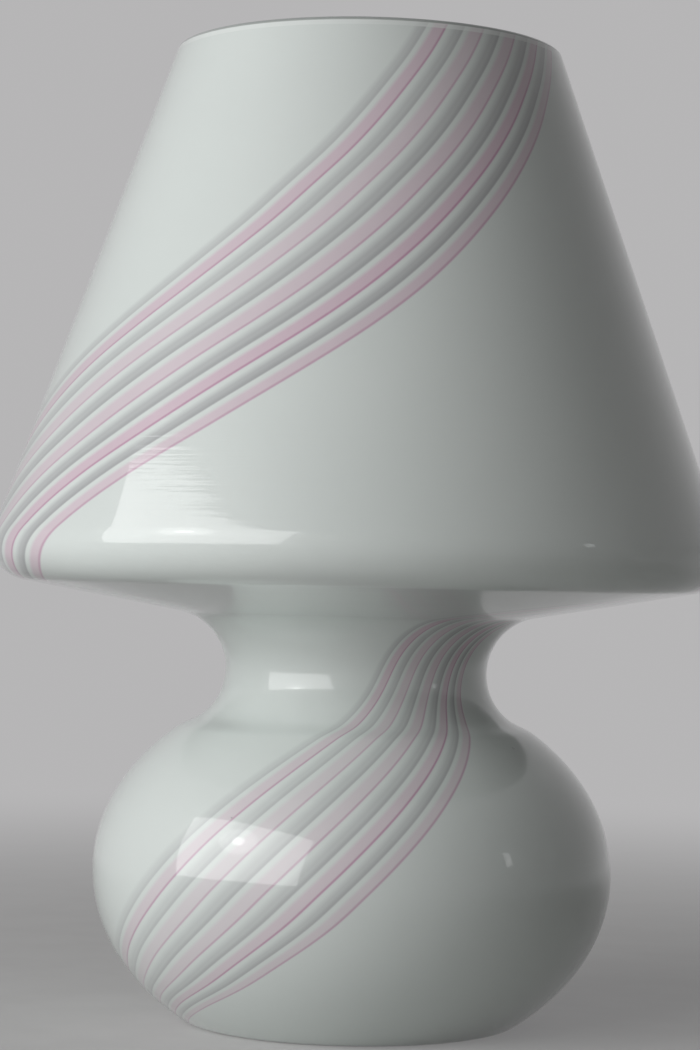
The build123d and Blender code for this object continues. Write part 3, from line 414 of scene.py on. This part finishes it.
def smooth_values(knots, places):
    """Values at these places of a smooth curve through the knots."""
    x, y = (np.array(column, float) for column in zip(*knots))
    slope = np.gradient(y, x)
    span = np.clip(np.searchsorted(x, places) - 1, 0, len(x) - 2)
    step = x[span + 1] - x[span]
    t = np.clip((places - x[span]) / step, 0.0, 1.0)
    return (
        (1 + 2 * t) * (1 - t) ** 2 * y[span]
        + t * (1 - t) ** 2 * step * slope[span]
        + t ** 2 * (3 - 2 * t) * y[span + 1]
        + t ** 2 * (t - 1) * step * slope[span + 1]
    )


# each vertex knows whether it is outside, and where the band's last cane is at its level
shape = bmesh.new()
is_outside = shape.verts.layers.float.new("outside")
band_end = shape.verts.layers.float.new("band_end")
band_width = shape.verts.layers.float.new("band_width")

outer, cone = glass_face(shape, 0.0, 0.0, FOOT_ROUND)
inner, _ = glass_face(shape, GLASS_WALL, GLASS_FLOOR, FLOOR_ROUND)
outer_rim = Vector((RIM_RADIUS, HEIGHT))
inner_rim = Vector((RIM_RADIUS - GLASS_WALL / cone.y, HEIGHT))
lip = rounded_corner(shape, outer_rim - cone, outer_rim, inner_rim, RIM_POLISH)
inner_lip = rounded_corner(shape, outer_rim, inner_rim, inner_rim - cone, RIM_POLISH)
foot_middle = shape.verts.new((0.0, 0.0, 0.0))
floor_middle = shape.verts.new((0.0, 0.0, GLASS_FLOOR))
path = [foot_middle] + outer + lip + inner_lip + inner[::-1] + [floor_middle]
path = outline(shape, path, LONGEST_FACE)

outside = path[:path.index(lip[-1]) + 1][::-1]
gone = np.cumsum([-RIM_POLISH / 2] + [(b.co - a.co).length for a, b in zip(outside, outside[1:])])
gone *= 1000
ends = smooth_values([(s, end) for s, end, _ in TWIST], gone) / 180
widths = smooth_values([(s, width) for s, _, width in TWIST], gone) / 180
for vertex, end, width in zip(outside, ends, widths):
    vertex[is_outside] = 1.0
    vertex[band_end] = end
    vertex[band_width] = width
spun(shape, FACES_ROUND)

# the drilled lead hole: both faces of the glass opened, then joined by its wall
near = []
for vertex in shape.verts:
    aside = vertex.co - LEAD_HOLE_PLACE
    depth = aside.dot(LEAD_HOLE_WAY)
    if (aside - LEAD_HOLE_WAY * depth).length < LEAD_HOLE_RADIUS and abs(depth) < 2 * GLASS_WALL:
        near.append(vertex)
bmesh.ops.delete(shape, geom=near, context="VERTS")
hole_edges = [edge for edge in shape.edges if edge.is_boundary]
for vertex in {vertex for edge in hole_edges for vertex in edge.verts}:
    aside = vertex.co - LEAD_HOLE_PLACE
    straight = LEAD_HOLE_WAY * aside.dot(LEAD_HOLE_WAY)
    vertex.co = LEAD_HOLE_PLACE + straight + (aside - straight).normalized() * LEAD_HOLE_RADIUS
for edge in hole_edges:
    edge.smooth = False
bmesh.ops.bridge_loops(shape, edges=hole_edges)
bmesh.ops.recalc_face_normals(shape, faces=shape.faces[:])

opal_glass, tree, shader = new_material("opal_glass")
here = add(tree, "TexCoord").outputs["Object"]
place = add(tree, "SeparateXYZ", {0: here}).outputs
front = maths(tree, "MULTIPLY", place["Y"], -1.0)
facing = maths(tree, "DIVIDE", maths(tree, "ARCTAN2", place["X"], front), math.pi)
band = {
    name: add(tree, "Attribute", attribute_name=name).outputs["Fac"]
    for name in ("outside", "band_end", "band_width")
}
# half turns from here to the last cane of the next band, and so the place across the band
wander = add(tree, "TexNoise", {"Vector": here, "Scale": 14.0, "Detail": 1.0}).outputs["Fac"]
behind = maths(tree, "SUBTRACT", band["band_end"], facing)
behind = maths(tree, "MULTIPLY_ADD", maths(tree, "SUBTRACT", wander, 0.5), WANDER, behind)
behind = maths(tree, "FRACT", maths(tree, "ADD", behind, BAND_MARGIN))
behind = maths(tree, "SUBTRACT", behind, BAND_MARGIN)
canes = maths(tree, "SUBTRACT", 1.0, maths(tree, "DIVIDE", behind, band["band_width"]))
canes = maths(tree, "DIVIDE", maths(tree, "SUBTRACT", canes, BAND_START), BAND_END - BAND_START)


def cane_ramp(tree, value, stops):
    """Colour ramp across the band, white where nothing lies on the opal."""
    made = add(tree, "ValToRGB", {0: value})
    stops = sorted([(BAND_START, WHITE), (BAND_END, WHITE), *stops], key=lambda stop: stop[0])
    elements = made.color_ramp.elements
    for number, (at, colour) in enumerate(stops):
        element = elements[number] if number < 2 else elements.new(1.0)
        element.position = (at - BAND_START) / (BAND_END - BAND_START)
        element.color = (*colour, 1.0)
    return made.outputs["Color"]


# a body deepens on the way to its line, which stands out against the opal after it
bodies, lines = [], []
for kind, start, line, strong in CANES:
    *colours, rise, reach = CANE_KINDS[kind]
    body, dark = ([1 - (1 - share) * strong for share in colour] for colour in colours)
    full, end = start + rise * (line - start), line + LINE_EDGE
    bodies.append([(start, WHITE), (full, body), (line, body), (end, WHITE)])
    lines += [(line - reach, WHITE), (line, dark), (end, WHITE)]
half = len(CANES) // 2
clouds = add(tree, "TexNoise", {"Vector": here, "Scale": 9.0, "Detail": 2.0}).outputs["Fac"]
colour = mixed(tree, graded(tree, clouds, 0.3, 0.7), OPAL, OPAL_THIN)
strength = graded(tree, place["Z"], FADE_BELOW, FADE_ABOVE, BODY_FADE, 1.0)
strength = maths(tree, "MULTIPLY", band["outside"], strength)
for group in (bodies[:half], bodies[half:]):
    ramp = cane_ramp(tree, canes, sum(group, []))
    colour = mixed(tree, strength, colour, ramp, "MULTIPLY")
colour = mixed(tree, band["outside"], colour, cane_ramp(tree, canes, lines), "MULTIPLY")

# rim: a darker line of clear glass where the opal stops short of the top, and below it a painted
# highlight along the rounded lip
lip = graded(tree, place["Z"], RIM_HIGHLIGHT_LEVEL, RIM_HIGHLIGHT_LEVEL + RIM_BLEND)
edge = graded(tree, place["Z"], RIM_CLEAR, RIM_CLEAR + RIM_BLEND)
# painted highlight: a bright band laid along the lip
colour = mixed(tree, maths(tree, "MULTIPLY", lip, LIP_HIGHLIGHT_STRENGTH), colour, LIP_HIGHLIGHT_COLOUR)
colour = mixed(tree, edge, colour, RIM_COLOUR)

# seeds: tiny bubbles and specks here and there in the casing
cells = add(tree, "TexVoronoi", {"Vector": here, "Scale": SEED_CELLS})
chance = add(tree, "SeparateXYZ", {0: cells.outputs["Color"]}).outputs["X"]
speck = graded(tree, cells.outputs["Distance"], *SEED_RADIUS)
seeds = maths(tree, "MULTIPLY", graded(tree, chance, SEED_CHANCE, SEED_CHANCE + 0.02), speck)
colour = mixed(tree, maths(tree, "MULTIPLY", seeds, SEED_STRENGTH), colour, SEED_COLOUR)
tree.links.new(colour, shader.inputs["Base Color"])

# tool ripples: fine level lines from the turning glass, strongest low on the shade
drawn = add(tree, "VectorMath", {0: here, 1: (14.0, 14.0, 620.0)}, operation="MULTIPLY").outputs[0]
ripples = add(tree, "TexNoise", {"Vector": drawn, "Scale": 1.0, "Detail": 3.0}).outputs["Fac"]
broad = add(tree, "TexNoise", {"Vector": here, "Scale": 22.0, "Detail": 1.0}).outputs["Fac"]
tooled = maths(
    tree, "MULTIPLY",
    graded(tree, place["Z"], 0.27, 0.20, 0.12, 1.0),
    graded(tree, place["Z"], 0.13, 0.15, 0.25, 1.0),
)
relief = maths(tree, "MULTIPLY", maths(tree, "MULTIPLY", ripples, RIPPLES), tooled)
relief = maths(tree, "MULTIPLY_ADD", broad, BROAD_WAVES, relief)
relief = maths(tree, "MULTIPLY_ADD", seeds, SEED_BLISTERS, relief)
bump = {"Strength": 1.0, "Distance": RELIEF_STEP, "Height": relief}
bent = add(tree, "Bump", bump).outputs[0]
tree.links.new(bent, shader.inputs["Normal"])
tree.links.new(bent, shader.inputs["Coat Normal"])
shader.inputs["Roughness"].default_value = 0.28
shader.inputs["IOR"].default_value = 1.35
shader.inputs["Coat Weight"].default_value = 1.0
shader.inputs["Coat Roughness"].default_value = 0.025
shader.inputs["Coat IOR"].default_value = 1.42
shader.inputs["Coat Tint"].default_value = (0.97, 0.985, 0.98, 1.0)
finished(shape, "glass_envelope", "root", "opal_glass", opal_glass, "glass_body")

# ---------------------------------------------------------------------------
# Lead grommet: ring of moulded black rubber, snapped into the lead hole so that the lead
# doesn't rub on the drilled glass
# ---------------------------------------------------------------------------

DUST_COLOUR = (0.42, 0.41, 0.39, 1.0)


def new_group(name, inputs, outputs):
    """A shader node group with these named number inputs and outputs."""
    made = bpy.data.node_groups.new(name, "ShaderNodeTree")
    for way, sockets in (("INPUT", inputs), ("OUTPUT", outputs)):
        for socket in sockets:
            made.interface.new_socket(socket, in_out=way, socket_type="NodeSocketFloat")
    taken = made.nodes.new("NodeGroupInput").outputs
    return made, taken, made.nodes.new("NodeGroupOutput").inputs


# uneven surface: soft patches and fine specks, both from 0 to 1
uneven_group, taken, given = new_group("uneven_surface", ("Scale",), ("Patches", "Specks"))
here = add(uneven_group, "TexCoord").outputs["Object"]
close = maths(uneven_group, "MULTIPLY", taken["Scale"], 9.0)
for output, scale, detail in (("Patches", taken["Scale"], 3.0), ("Specks", close, 2.0)):
    noise = add(uneven_group, "TexNoise", {"Vector": here, "Scale": scale, "Detail": detail})
    uneven_group.links.new(graded(uneven_group, noise.outputs["Fac"], 0.32, 0.68), given[output])

# drawn or turned grain: fine lines, level or upright, from 0 to 1
grain_group, taken, given = new_group("grain_lines", ("Along", "Up"), ("Lines",))
here = add(grain_group, "TexCoord").outputs["Object"]
stretch = {0: taken["Along"], 1: taken["Along"], 2: taken["Up"]}
stretch = add(grain_group, "CombineXYZ", stretch).outputs[0]
drawn = add(grain_group, "VectorMath", {0: here, 1: stretch}, operation="MULTIPLY").outputs[0]
noise = add(grain_group, "TexNoise", {"Vector": drawn, "Scale": 1.0, "Detail": 2.0})
grain_group.links.new(graded(grain_group, noise.outputs["Fac"], 0.3, 0.7), given["Lines"])

# dust: settles on what faces up, in soft patches
dust_group, taken, given = new_group("dust", ("Amount",), ("Dust",))
normal = add(dust_group, "NewGeometry").outputs["Normal"]
upward = add(dust_group, "SeparateXYZ", {0: normal}).outputs["Z"]
here = add(dust_group, "TexCoord").outputs["Object"]
loose = add(dust_group, "TexNoise", {"Vector": here, "Scale": 160.0, "Detail": 4.0}).outputs["Fac"]
lying = maths(
    dust_group, "MULTIPLY",
    graded(dust_group, upward, 0.55, 1.0),
    graded(dust_group, loose, 0.35, 0.75),
)
dust_group.links.new(maths(dust_group, "MULTIPLY", lying, taken["Amount"]), given["Dust"])


def place_group(tree, group, **values):
    """Outputs of a node group that is placed with its own values."""
    made = tree.nodes.new("ShaderNodeGroup")
    made.node_tree = group
    for name, value in values.items():
        made.inputs[name].default_value = value
    return made.outputs


def surface(name, light, dark, rough, scale, relief=0.0, grain=None, metal=0.0, dust=0.2):
    """Material that goes from light to dark and from smooth to rough in patches."""
    made, tree, shader = new_material(name)
    uneven = place_group(tree, uneven_group, Scale=scale)
    worn, height = uneven["Patches"], uneven["Specks"]
    if grain:
        lines = place_group(tree, grain_group, Along=grain[0], Up=grain[1])["Lines"]
        worn = maths(tree, "MULTIPLY_ADD", lines, 0.4, maths(tree, "MULTIPLY", worn, 0.6))
        height = maths(tree, "MULTIPLY_ADD", lines, 2.0, height)
    settled = place_group(tree, dust_group, Amount=dust)["Dust"]
    colour = mixed(tree, worn, (*light, 1.0), (*dark, 1.0))
    tree.links.new(mixed(tree, settled, colour, DUST_COLOUR), shader.inputs["Base Color"])
    coarse = graded(tree, worn, 0.0, 1.0, *rough)
    tree.links.new(maths(tree, "MULTIPLY_ADD", settled, 0.3, coarse), shader.inputs["Roughness"])
    shader.inputs["Metallic"].default_value = metal
    if relief:
        bump = {"Strength": 0.6, "Distance": relief, "Height": height}
        tree.links.new(add(tree, "Bump", bump).outputs[0], shader.inputs["Normal"])
    return made


def dress(material, *names):
    """Gives CAD nodes their finish."""
    for name in names:
        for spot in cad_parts[name].material_slots:
            spot.material = material


black_rubber = surface(
    "black_rubber", (0.030, 0.030, 0.031), (0.055, 0.054, 0.052), (0.45, 0.62), 220.0, 0.00004
)
dress(black_rubber, "lead_grommet")

# ---------------------------------------------------------------------------
# Neck bracket: hub with three arms that rest in the flare above the waist, blanked and
# bent from sheet steel and then zinc-plated
# ---------------------------------------------------------------------------

zinc_steel = surface(
    "zinc_plated_sheet", (0.62, 0.63, 0.63), (0.46, 0.47, 0.48), (0.28, 0.46), 90.0, 0.00002,
    grain=(700.0, 90.0), metal=1.0,
)
dress(zinc_steel, "neck_bracket")

# ---------------------------------------------------------------------------
# Arm and leg sleeves: soft caps and tubes of milky silicone, pushed on the arms' tips and
# the legs' elbows so that no steel touches the glass
# ---------------------------------------------------------------------------

silicone = surface(
    "milky_silicone", (0.78, 0.78, 0.75), (0.68, 0.68, 0.64), (0.38, 0.55), 120.0, 0.00003
)
dress(silicone, "arm_sleeve_1", "arm_sleeve_2", "arm_sleeve_3")
dress(silicone, "leg_sleeve_1", "leg_sleeve_2", "leg_sleeve_3")

# ---------------------------------------------------------------------------
# Spring legs and their rivets: strips of hardened steel, bowed so that they press on the
# glass below the waist, each held under the hub by an aluminium rivet
# ---------------------------------------------------------------------------

spring_strip = surface(
    "spring_strip", (0.42, 0.43, 0.46), (0.25, 0.26, 0.30), (0.22, 0.38), 140.0, 0.00001,
    grain=(160.0, 900.0), metal=1.0,
)
dress(spring_strip, "spring_leg_1", "spring_leg_2", "spring_leg_3")
plain_aluminium = surface(
    "plain_aluminium", (0.78, 0.78, 0.79), (0.62, 0.62, 0.63), (0.25, 0.42), 260.0, 0.00001,
    metal=1.0,
)
dress(plain_aluminium, "leg_rivets")

# ---------------------------------------------------------------------------
# Threaded nipple, its nuts, lock washer and bushing: the turned brass tube that carries
# the lampholder, clamped to the hub, with a smooth plastic ring where the lead enters
# ---------------------------------------------------------------------------

turned_brass = surface(
    "turned_brass", (0.74, 0.56, 0.26), (0.50, 0.34, 0.14), (0.20, 0.42), 130.0, 0.00001,
    grain=(120.0, 1500.0), metal=1.0,
)
dress(turned_brass, "threaded_nipple", "nipple_nuts")
dress(zinc_steel, "lock_washer")
ivory_moulding = surface(
    "ivory_moulding", (0.80, 0.76, 0.66), (0.74, 0.69, 0.58), (0.22, 0.36), 60.0, 0.00001
)
dress(ivory_moulding, "nipple_bushing")

# ---------------------------------------------------------------------------
# Lampholder: cap and shell, moulded in ivory thermoset, which close round the insert. A
# steel grub screw pins the cap on the nipple
# ---------------------------------------------------------------------------

dress(ivory_moulding, "holder_cap", "holder_shell")
screw_steel = surface(
    "screw_steel", (0.60, 0.60, 0.58), (0.42, 0.41, 0.36), (0.24, 0.42), 300.0, 0.00001,
    grain=(250.0, 1200.0), metal=1.0,
)
dress(screw_steel, "nipple_grub_screw", "terminal_screws", "shell_screws")

# ---------------------------------------------------------------------------
# Holder insert: block of pressed white porcelain, glazed and fired, that lies in the
# holder and keeps the contacts apart
# ---------------------------------------------------------------------------

glazed_porcelain = surface(
    "glazed_porcelain", (0.84, 0.83, 0.80), (0.76, 0.75, 0.71), (0.10, 0.24), 80.0, 0.00003
)
dress(glazed_porcelain, "holder_insert")

# ---------------------------------------------------------------------------
# Contacts: brass terminals and plunger, and the screw shell, which is rolled from thin
# brass sheet and screwed to the porcelain
# ---------------------------------------------------------------------------

stamped_brass = surface(
    "stamped_brass", (0.80, 0.62, 0.30), (0.58, 0.41, 0.18), (0.20, 0.40), 110.0, 0.00001,
    grain=(90.0, 1100.0), metal=1.0,
)
dress(stamped_brass, "centre_terminal", "side_terminal", "centre_contact", "screw_shell")

# ---------------------------------------------------------------------------
# Contact spring: coiled wire between the ceramic, which stands, and the plunger's
# collar, which moves
# ---------------------------------------------------------------------------

SPRING_FOOT = 0.150
SPRING_TOP = 0.156
SPRING_RADIUS = 0.0033
SPRING_WIRE = 0.00035
SPRING_TURNS = 4
SPRING_END_ROOM = 0.00005
STEPS_PER_TURN = 28


def coil(shape, radius, wire, length, turns, steps, sides):
    """Wire wound round the Z axis, from the level that its ring starts at."""
    bmesh.ops.create_circle(
        shape, segments=sides, radius=wire,
        matrix=Matrix.Translation((radius, 0.0, 0.0)) @ turned(90, "X"),
    )
    bmesh.ops.spin(
        shape,
        geom=shape.verts[:] + shape.edges[:],
        cent=(0.0, 0.0, 0.0),
        axis=(0.0, 0.0, 1.0),
        dvec=(0.0, 0.0, length / (turns * steps)),
        angle=math.tau * turns,
        steps=turns * steps,
    )
    bmesh.ops.holes_fill(shape, edges=[edge for edge in shape.edges if edge.is_boundary])


shape = bmesh.new()
stand = SPRING_FOOT + SPRING_WIRE + SPRING_END_ROOM
rise = SPRING_TOP - SPRING_FOOT - 2 * (SPRING_WIRE + SPRING_END_ROOM)
coil(shape, SPRING_RADIUS, SPRING_WIRE, rise, SPRING_TURNS, STEPS_PER_TURN, 12)
bmesh.ops.translate(shape, verts=shape.verts[:], vec=(0.0, 0.0, stand))
bmesh.ops.recalc_face_normals(shape, faces=shape.faces[:])
spring_wire = surface(
    "spring_wire", (0.50, 0.50, 0.52), (0.34, 0.34, 0.37), (0.18, 0.32), 400.0, metal=1.0
)
spring = finished(shape, "contact_coil", None, "spring_steel", spring_wire, "contact_spring")
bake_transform(spring)

# ---------------------------------------------------------------------------
# Bulb cap: thin aluminium shell with a rolled thread, cemented on the bulb's neck. Black
# glass moulded in its foot carries the tinned tip
# ---------------------------------------------------------------------------

rolled_aluminium = surface(
    "rolled_aluminium", (0.80, 0.80, 0.81), (0.64, 0.64, 0.65), (0.22, 0.40), 90.0, 0.00001,
    grain=(60.0, 900.0), metal=1.0,
)
dress(rolled_aluminium, "bulb_cap")
black_glass = surface(
    "black_glass", (0.020, 0.020, 0.022), (0.035, 0.034, 0.038), (0.08, 0.20), 150.0, 0.00002
)
dress(black_glass, "cap_insulator")
tinned_tip = surface(
    "tinned_tip", (0.62, 0.62, 0.62), (0.45, 0.45, 0.46), (0.25, 0.50), 500.0, 0.00004, metal=1.0
)
dress(tinned_tip, "tip_contact")

# ---------------------------------------------------------------------------
# Bulb glass and stem: thin clear envelope, blown in one mould, and the clear stem that
# is sealed into its foot and carries the wires
# ---------------------------------------------------------------------------

BULB_RADIUS = 0.030
BULB_WIDEST = 0.24265
BULB_NECK = Vector((0.0142, 0.19958))
BULB_THROAT = Vector((0.0114, 0.19358))
BULB_FOOT = 0.18558
BULB_WALL = 0.0009


def clear_glass(name, light, dark):
    """Clear glass that lets light through to what is behind it."""
    made, tree, shader = new_material(name)
    patches = place_group(tree, uneven_group, Scale=40.0)["Patches"]
    tree.links.new(mixed(tree, patches, (*light, 1.0), (*dark, 1.0)), shader.inputs["Base Color"])
    bump = {"Strength": 0.4, "Distance": 0.00002, "Height": patches}
    tree.links.new(add(tree, "Bump", bump).outputs[0], shader.inputs["Normal"])
    shader.inputs["Roughness"].default_value = 0.0
    shader.inputs["IOR"].default_value = 1.5
    shader.inputs["Transmission Weight"].default_value = 1.0
    through = add(tree, "BsdfTransparent", {"Color": (0.96, 0.96, 0.96, 1.0)})
    shadow = add(tree, "LightPath").outputs["Is Shadow Ray"]
    shown = add(tree, "MixShader", {0: shadow, 1: shader.outputs[0], 2: through.outputs[0]})
    tree.links.new(shown.outputs[0], tree.nodes["Material Output"].inputs["Surface"])
    return made


def bulb_face(shape, inset):
    """One face of the bulb as a half outline, from its foot to its crown."""
    inward = Vector((inset, 0.0))
    throat, neck = BULB_THROAT - inward, BULB_NECK - inward
    crown = arc(shape, (0.0, BULB_WIDEST), BULB_RADIUS - inset, 0, 90, 24)
    swell = across(crown[0]) - throat
    upright = (0.0, 1.0)
    path = [shape.verts.new((throat.x, 0.0, BULB_FOOT)), shape.verts.new((throat.x, 0.0, throat.y))]
    path += free_curve(shape, throat, upright, neck, swell, 6)
    path += [shape.verts.new((neck.x, 0.0, neck.y))]
    return path + free_curve(shape, neck, swell, across(crown[0]), upright, 24) + crown


shape = bmesh.new()
outline(shape, bulb_face(shape, 0.0)[::-1] + bulb_face(shape, BULB_WALL), 1.0)
spun(shape, 96)
thin_glass = clear_glass("thin_clear_glass", (0.97, 0.98, 0.98), (0.95, 0.965, 0.965))
finished(shape, "bulb_envelope", "bulb", "clear_glass", thin_glass, "bulb_glass")
dress(clear_glass("lead_glass", (0.93, 0.96, 0.95), (0.91, 0.945, 0.935)), "glass_stem")

# ---------------------------------------------------------------------------
# Filament: tungsten wire, coiled and hung in an arc between the nickel lead wires on
# four fine supports
# ---------------------------------------------------------------------------

FILAMENT_LEVEL = 0.23365
FILAMENT_ARC = 0.0125
FILAMENT_COIL = 0.00040      # to the middle of the wire
FILAMENT_WIRE = 0.00005
FILAMENT_START = -45.0       # degrees
FILAMENT_SWEEP = 270.0
FILAMENT_TURNS = 150

shape = bmesh.new()
length = math.radians(FILAMENT_SWEEP) * FILAMENT_ARC
coil(shape, FILAMENT_COIL, FILAMENT_WIRE, length, FILAMENT_TURNS, 10, 5)
for vertex in shape.verts:   # the straight coil is bent round its arc
    bend = FILAMENT_START + FILAMENT_SWEEP * vertex.co.z / length
    along = polar(FILAMENT_ARC + vertex.co.x, bend)
    vertex.co = Vector((along.x, along.y, FILAMENT_LEVEL + vertex.co.y))
bmesh.ops.recalc_face_normals(shape, faces=shape.faces[:])
tungsten = surface(
    "tungsten_coil", (0.30, 0.30, 0.32), (0.20, 0.20, 0.22), (0.25, 0.40), 600.0, metal=1.0
)
finished(shape, "filament_coil", "bulb", "tungsten", tungsten, "filament")
nickel_wire = surface(
    "nickel_wire", (0.56, 0.54, 0.51), (0.40, 0.38, 0.36), (0.22, 0.36), 500.0, metal=1.0
)
dress(nickel_wire, "filament_leads", "filament_supports")
